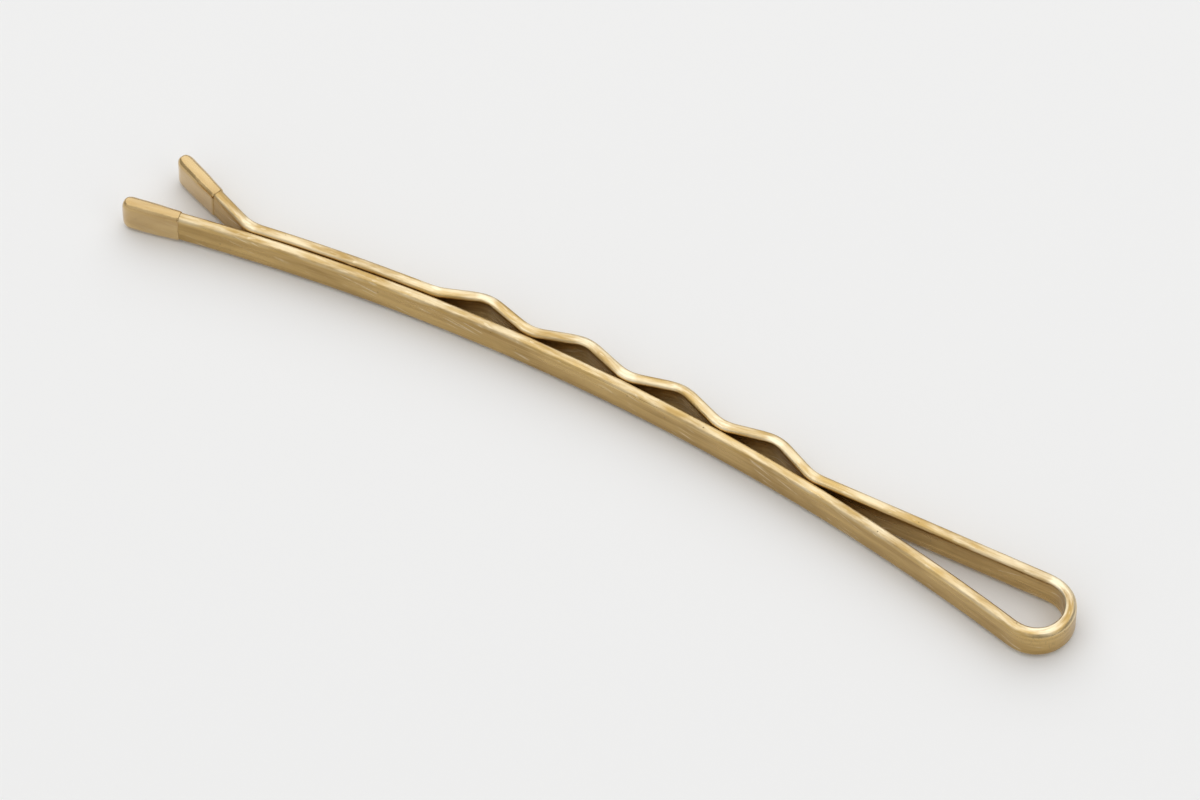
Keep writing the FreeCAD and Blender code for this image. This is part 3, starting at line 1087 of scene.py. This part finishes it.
@dataclass
class TipDrop:
    """A drop of lacquer over a cut end: a small rim, a slow swell and a round nose."""

    name: str
    leg: Leg
    node: str
    end: CutEnd
    shape: PinShape
    finish: Material
    nose: float = 0.32 * MM
    film: float = 0.11 * MM
    root_film: float = 0.06 * MM
    rim_length: float = 0.14 * MM
    sunk: float = 0.03 * MM
    dome: float = 0.55 * MM
    swell_share: float = 0.6
    nose_fullness: float = 2.2
    unevenness: float = 0.01 * MM
    swells_per_mm: float = 1.7
    root_waver: float = 0.05 * MM
    wavers_round: float = 1.3
    waver_share: float = 0.5
    merge_distance: float = 0.0005 * MM
    rim_rings: int = 8
    body_rings: int = 30
    nose_rings: int = 18
    corner_points: int = 8
    edge_points: int = 3
    flat_points: int = 12

    def stations(self) -> list[Station]:
        """Lists the rings from the rim to the nose.

        Returns:
            The rings.
        """
        root = -self.shape.tip_cover
        found = [Station(root, -self.sunk)]
        for number in range(1, self.rim_rings + 1):
            angle = QUARTER_TURN * number / self.rim_rings
            place = root + self.rim_length * (1 - math.cos(angle))
            found.append(Station(place, self.root_film * math.sin(angle)))
        start, end = root + self.rim_length, self.nose - self.dome
        for number in range(1, self.body_rings + 1):
            share = number / self.body_rings
            swell = min(1.0, share / self.swell_share)
            eased = swell * swell * (3 - 2 * swell)
            film = self.root_film + (self.film - self.root_film) * eased
            found.append(Station(start + (end - start) * share, film))
        for number in range(1, self.nose_rings + 1):
            angle = QUARTER_TURN * number / self.nose_rings
            found.append(Station(end + self.dome * math.sin(angle), self.film, math.cos(angle)))
        return found

    def ring(self, station: Station) -> list[tuple[float, float]]:
        """Draws a ring round the wire's section: flats, edges and rounded corners.

        Args:
            station: The ring to draw.

        Returns:
            Places through and across the wire.
        """
        radius = self.shape.edge_radius + station.film
        half_edge = self.shape.wire_thickness / 2 + station.film - radius
        half_flat = self.shape.wire_width / 2 + station.film - radius
        across_share = 1 - (1 - station.share) ** self.nose_fullness
        signs = ((1, 1), (-1, 1), (-1, -1), (1, -1))
        middles = [(half_edge * edge, half_flat * flat) for edge, flat in signs]
        found = []
        for number, (through, across) in enumerate(middles):
            for step in range(self.corner_points):
                angle = QUARTER_TURN * (number + step / (self.corner_points - 1))
                rounded = through + radius * math.cos(angle), across + radius * math.sin(angle)
                found.append(rounded)
            next_through, next_across = middles[(number + 1) % len(middles)]
            last_through, last_across = found[-1]
            count = self.flat_points if number % 2 else self.edge_points
            for step in range(1, count + 1):
                part = step / (count + 1)
                far_through = last_through + (next_through - through) * part
                found.append((far_through, last_across + (next_across - across) * part))
        return [(through * station.share, across * across_share) for through, across in found]

    def uneven(self, station: Station, through: float, across: float) -> Vector:
        """Moves a point of a ring as the lacquer's wavering rim and uneven swell do.

        Args:
            station: The point's ring.
            through: The point's place through the wire.
            across: The point's place across the wire.

        Returns:
            The point's place along, through and across the wire.
        """
        cover = self.shape.tip_cover
        near_root = max(0.0, 1 - (station.place + cover) / (cover * self.waver_share))
        outward = Vector((0, through, across)).normalized()
        around = outward * self.wavers_round + Vector((self.end.run * PER_MM, 0, 0))
        waver = noise.noise(around) * self.root_waver
        local = Vector((station.place + waver * near_root, through, across))
        swelling = noise.noise(local * self.swells_per_mm * PER_MM) * self.unevenness
        return local + outward * (swelling * max(0.0, station.film / self.film))

    def shell(self) -> bmesh.types.BMesh:
        """Joins the rings into a closed shell that notes each point's place on the wire.

        Returns:
            The shell.
        """
        end = self.end
        along, side = heading(end.angle), heading(end.angle + QUARTER_TURN)
        shell = bmesh.new()
        space = shell.verts.layers.float_vector.new("wire_space")
        rings = []
        for station in self.stations():
            ring = []
            for through, across in self.ring(station):
                local = self.uneven(station, through, across)
                place = end.place + along * local.x + side * local.y + UP * local.z
                corner = shell.verts.new(place)
                corner[space] = Vector((end.run + station.place, local.y, local.z)) * PER_MM
                ring.append(corner)
            rings.append(ring)
        for ring, after in zip(rings, rings[1:]):
            for number in range(len(ring)):
                following = (number + 1) % len(ring)
                shell.faces.new((ring[number], ring[following], after[following], after[number]))
        shell.faces.new(rings[0])
        bmesh.ops.remove_doubles(shell, verts=shell.verts, dist=self.merge_distance)
        bmesh.ops.recalc_face_normals(shell, faces=shell.faces)
        for face in shell.faces:
            face.smooth = True
        return shell

    def build(self) -> Object:
        """Builds the drop over its end of the wire.

        Returns:
            The drop's object.
        """
        shell = self.shell()
        mesh = bpy.data.meshes.new(self.name)
        shell.to_mesh(mesh)
        shell.free()
        mesh.materials.append(self.finish)
        drop = scene_object(self.name, mesh)
        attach(drop, self.leg.value)
        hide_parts(self.node)
        return drop


@dataclass(frozen=True)
class SoftLamp:
    """A square soft lamp that faces the pin."""

    name: str
    place: tuple[float, float, float]
    side: float
    power: float

    def hang(self) -> None:
        """Hangs the lamp at its place and turns it to the middle of the pin."""
        data = bpy.data.lights.new(self.name, "AREA")
        data.size = self.side
        data.energy = self.power
        lamp = scene_object(self.name, data)
        lamp.location = self.place
        aim = (CAD_BOX[0] + CAD_BOX[1]) / 2
        lamp.rotation_euler = (aim - lamp.location).to_track_quat("-Z", "Y").to_euler()


@dataclass
class Studio:
    """A plain pale floor, soft light and the photograph's viewing angle."""

    azimuth: float = math.radians(208)
    elevation: float = math.radians(54.4)
    distance: float = 425 * MM
    fill: float = 0.86
    sensor: float = 36.0
    nearest: float = 0.01
    farthest: float = 10.0
    floor_radius: float = 2.5
    floor_sides: int = 96
    floor_gap: float = 0.002 * MM
    floor_colour: RGBA = (0.9, 0.9, 0.895, 1)
    floor_roughness: float = 0.8
    sky_colour: RGBA = (1, 1, 1, 1)
    sky_strength: float = 0.33
    lamps: tuple[SoftLamp, ...] = (
        SoftLamp("back_softbox", (0.15, -0.25, 0.55), 1.3, 5.3),
        SoftLamp("side_softbox", (-0.45, 0.1, 0.35), 0.4, 0.3),
        SoftLamp("front_softbox", (0.3, 0.83, 0.55), 1.2, 1.9),
    )

    def floor(self) -> None:
        """Lays the floor under the pin's lowest point."""
        disc = bmesh.new()
        radius, sides = self.floor_radius, self.floor_sides
        bmesh.ops.create_circle(disc, cap_ends=True, radius=radius, segments=sides)
        mesh = bpy.data.meshes.new("floor")
        disc.to_mesh(mesh)
        disc.free()
        mesh.transform(Matrix.Translation(UP * (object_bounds()[0].z - self.floor_gap)))
        floor = scene_object("floor", mesh)
        material = bpy.data.materials.new("pale_floor")
        material.use_nodes = True
        shader = material.node_tree.nodes["Principled BSDF"]
        shader.inputs["Base Color"].default_value = self.floor_colour
        shader.inputs["Roughness"].default_value = self.floor_roughness
        mesh.materials.append(material)
        floor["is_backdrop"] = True

    def light(self) -> None:
        """Sets the sky and hangs the lamps."""
        sky = bpy.data.worlds.new("studio")
        sky.use_nodes = True
        backdrop = sky.node_tree.nodes["Background"]
        backdrop.inputs["Color"].default_value = self.sky_colour
        backdrop.inputs["Strength"].default_value = self.sky_strength
        bpy.context.scene.world = sky
        for lamp in self.lamps:
            lamp.hang()

    def camera(self) -> None:
        """Sets the camera at the photograph's viewing angle, with the pin filling the frame."""
        right = heading(self.azimuth)
        away = heading(self.azimuth + QUARTER_TURN)
        back = UP * math.sin(self.elevation) - away * math.cos(self.elevation)
        above = back.cross(right)
        corners = [Vector(corner) for corner in product(*zip(*CAD_BOX))]
        across = [corner.dot(right) for corner in corners]
        upward = [corner.dot(above) for corner in corners]
        aim = right * (min(across) + max(across)) / 2 + above * (min(upward) + max(upward)) / 2
        data = bpy.data.cameras.new("camera")
        data.sensor_width = self.sensor
        data.lens = self.sensor * self.distance * self.fill / (max(across) - min(across))
        data.clip_start, data.clip_end = self.nearest, self.farthest
        camera = scene_object("camera", data)
        camera.location = aim + back * self.distance
        camera.rotation_euler = (-back).to_track_quat("-Z", "Y").to_euler()
        bpy.context.scene.camera = camera

    def build(self) -> None:
        """Sets up the floor, the light, the camera and the plain view transform."""
        self.floor()
        self.light()
        self.camera()
        bpy.context.scene.view_settings.view_transform = "Standard"


def report(piece: Object) -> None:
    """Logs a finished piece with its count of faces."""
    log.info("%s: %d faces", piece.name, len(piece.data.polygons))


def main() -> None:
    """Builds the pin and the studio in order."""
    logging.basicConfig(level=logging.INFO)
    shape = PinShape()
    effects = Effects()
    tree = SweptWireSheet().build()
    gold_wire, gold_tip = WIRE_FINISH.material(effects), TIP_FINISH.material(effects)
    dress = (shape, tree, gold_wire)
    straight_leg = StraightLeg(*dress)
    line, straight_end = straight_leg.start()
    for wire in (straight_leg, Head(*dress), CrimpedLeg(*dress)):
        report(wire.build(line))
    drops = (
        ("straight_leg_drop", Leg.STRAIGHT, "straight_leg_tip", straight_end),
        ("crimped_leg_drop", Leg.CRIMPED, "crimped_leg_tip", line.end()),
    )
    for drop in drops:
        report(TipDrop(*drop, shape, gold_tip).build())
    Studio().build()


if __name__ == "__main__":
    main()
